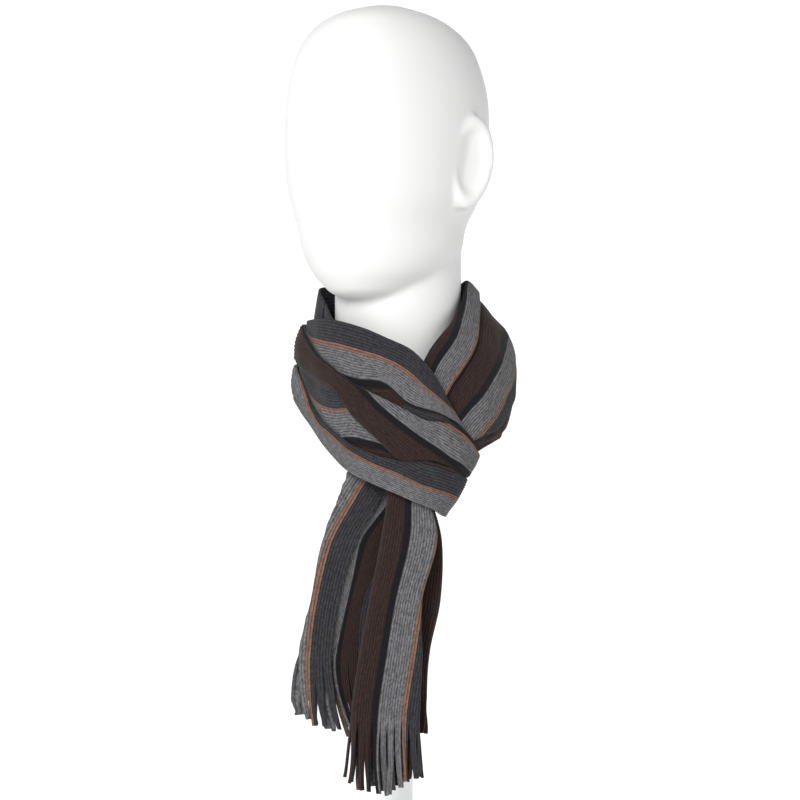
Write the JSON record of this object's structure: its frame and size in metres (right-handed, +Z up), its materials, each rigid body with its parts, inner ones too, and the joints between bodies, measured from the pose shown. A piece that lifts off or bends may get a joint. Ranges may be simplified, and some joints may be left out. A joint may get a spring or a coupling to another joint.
{
  "type": "knit scarf on a display head form",
  "caption": "Striped rib-knit scarf with fringed ends, folded in half and worn with its tails through the loop, on a plain display head with a pole and round base.",
  "frame": {"origin": "centre of the round base's underside, on the neck's axis", "axes": "+Z up along the pole and neck; the loop and tails face -Y; +X to the viewer's right"},
  "size_m": [0.2, 0.2024, 0.703],
  "materials": {
    "knit": "fine rib knit in lengthwise stripes of charcoal, rust, heather grey, black and brown, matt",
    "fringe": "flat strips of the same rib knit, cut along the ribs",
    "head": "smooth matt white",
    "stand": "satin white powder coat"
  },
  "bodies": {
    "root": {"loop_front": "knit", "loop_back": "knit", "collar_outer": "knit", "collar_inner": "knit", "tail_long": "knit", "tail_short": "knit", "fringe_long": "fringe", "fringe_short": "fringe", "head_form": "head", "stand_pole": "stand", "stand_base": "stand"}
  },
  "joints": []
}
